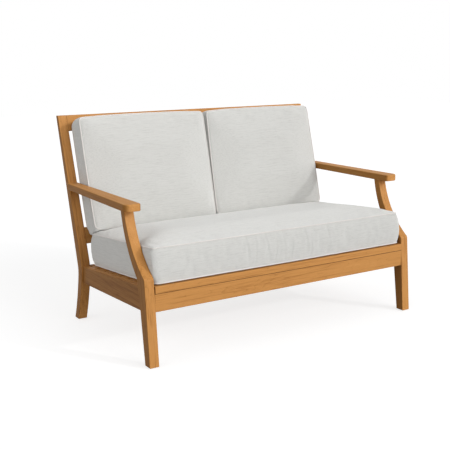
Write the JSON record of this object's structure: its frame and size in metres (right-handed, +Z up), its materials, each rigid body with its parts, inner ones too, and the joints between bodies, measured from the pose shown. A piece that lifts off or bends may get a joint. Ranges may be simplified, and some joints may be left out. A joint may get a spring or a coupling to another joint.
{
  "type": "patio loveseat",
  "caption": "Patio loveseat with a teak-coloured hardwood frame, sweeping front legs, slatted seat and back, and off-white piped outdoor cushions",
  "frame": {"origin": "Middle of the bounding box's footprint, on the floor.", "axes": "+X runs along the seat, to the right of someone who stands in front and looks at it. -Y is the front, +Y the back. +Z is up."},
  "size_m": [1.3986, 0.8744, 0.9201],
  "materials": {
    "hardwood": "oiled teak-coloured hardwood, satin",
    "screw_steel": "plain stainless screws",
    "glide_plastic": "dark nylon",
    "cover_cloth": "off-white slub weave outdoor cloth",
    "piping_cloth": "same cloth sewn round a cord",
    "foam_core": "open-cell cushion foam"
  },
  "bodies": {
    "frame": {"front_leg_left": "hardwood", "back_post_left": "hardwood", "arm_left": "hardwood", "side_rail_left": "hardwood", "slat_ledger_left": "hardwood", "front_leg_right": "hardwood", "back_post_right": "hardwood", "arm_right": "hardwood", "side_rail_right": "hardwood", "slat_ledger_right": "hardwood", "front_rail": "hardwood", "front_cap_board": "hardwood", "rear_rail": "hardwood", "seat_bearer": "hardwood", "crest_rail": "hardwood", "lower_back_rail": "hardwood", "seat_slat_1": "hardwood", "seat_slat_2": "hardwood", "seat_slat_3": "hardwood", "seat_slat_4": "hardwood", "seat_slat_5": "hardwood", "seat_slat_6": "hardwood", "seat_slat_7": "hardwood", "back_slat_1": "hardwood", "back_slat_2": "hardwood", "back_slat_3": "hardwood", "back_slat_4": "hardwood", "back_slat_5": "hardwood", "back_slat_6": "hardwood", "back_slat_7": "hardwood", "back_slat_8": "hardwood", "back_slat_9": "hardwood", "slat_screws": "screw_steel", "cap_screws": "screw_steel", "ledger_screws": "screw_steel", "arm_screws": "screw_steel", "arm_plugs": "hardwood", "joint_pegs": "hardwood", "foot_glides": "glide_plastic"},
    "seat_cushion": {"seat_cushion_cover": "cover_cloth", "seat_cushion_foam": "foam_core", "seat_cushion_piping": "piping_cloth"},
    "back_cushion_left": {"back_cushion_left_cover": "cover_cloth", "back_cushion_left_foam": "foam_core", "back_cushion_left_piping": "piping_cloth"},
    "back_cushion_right": {"back_cushion_right_cover": "cover_cloth", "back_cushion_right_foam": "foam_core", "back_cushion_right_piping": "piping_cloth"}
  },
  "joints": [
    {"name": "seat_cushion_lift_out", "type": "slide", "parent": "frame", "child": "seat_cushion", "axis": [0, -0.9962, 0.0872], "range_m": [0, 0.7]},
    {"name": "back_cushion_left_lift_out", "type": "slide", "parent": "frame", "child": "back_cushion_left", "axis": [0, 0.2995, 0.9541], "range_m": [0, 0.58]},
    {"name": "back_cushion_right_lift_out", "type": "slide", "parent": "frame", "child": "back_cushion_right", "axis": [0, 0.2995, 0.9541], "range_m": [0, 0.58]}
  ]
}
